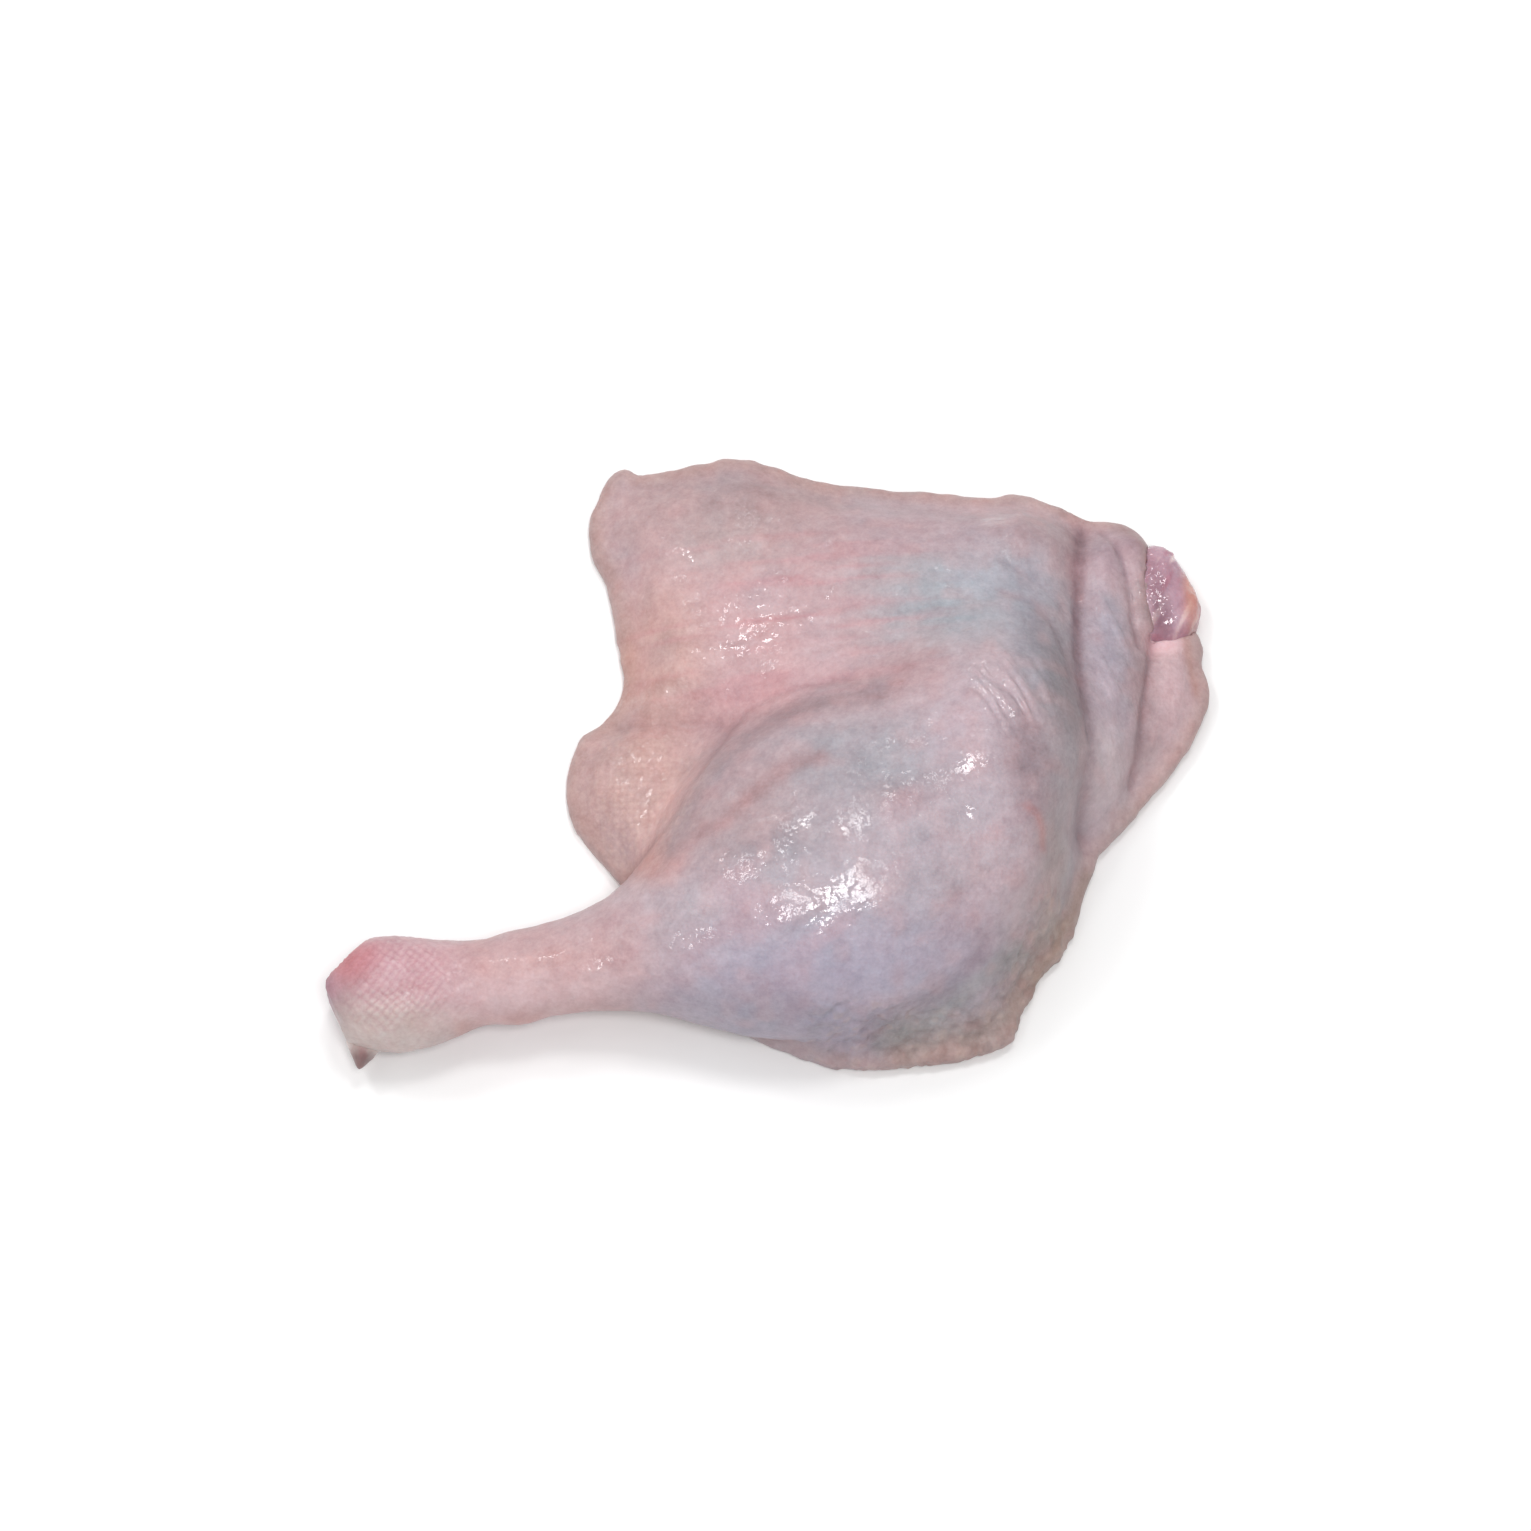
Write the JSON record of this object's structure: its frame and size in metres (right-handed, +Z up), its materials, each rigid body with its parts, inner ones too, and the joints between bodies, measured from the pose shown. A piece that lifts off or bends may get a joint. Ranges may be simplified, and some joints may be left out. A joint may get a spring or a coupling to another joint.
{
  "type": "raw duck leg",
  "caption": "Raw duck leg, skin side up: plump drumstick ending at a cut scaly hock, folded knee, and thigh with a spread flap of loose skin.",
  "frame": {"origin": "on the surface that the leg lies on, under the middle of the leg's box", "axes": "+Z up out of the skin side, +X from the cut hock towards the hip, +Y from the drumstick towards the flap of thigh skin"},
  "size_m": [0.1912, 0.142, 0.0419],
  "materials": {
    "skin": "raw pink skin over fat, moist, with fine wrinkles and glossy spots",
    "flesh": "raw flesh, mauve pink, wet",
    "gristle": "mauve and cream gristle at the cut joint, wet"
  },
  "bodies": {
    "root": {"leg": "skin", "thigh_flesh": "flesh", "hock_joint": "gristle"}
  },
  "joints": []
}
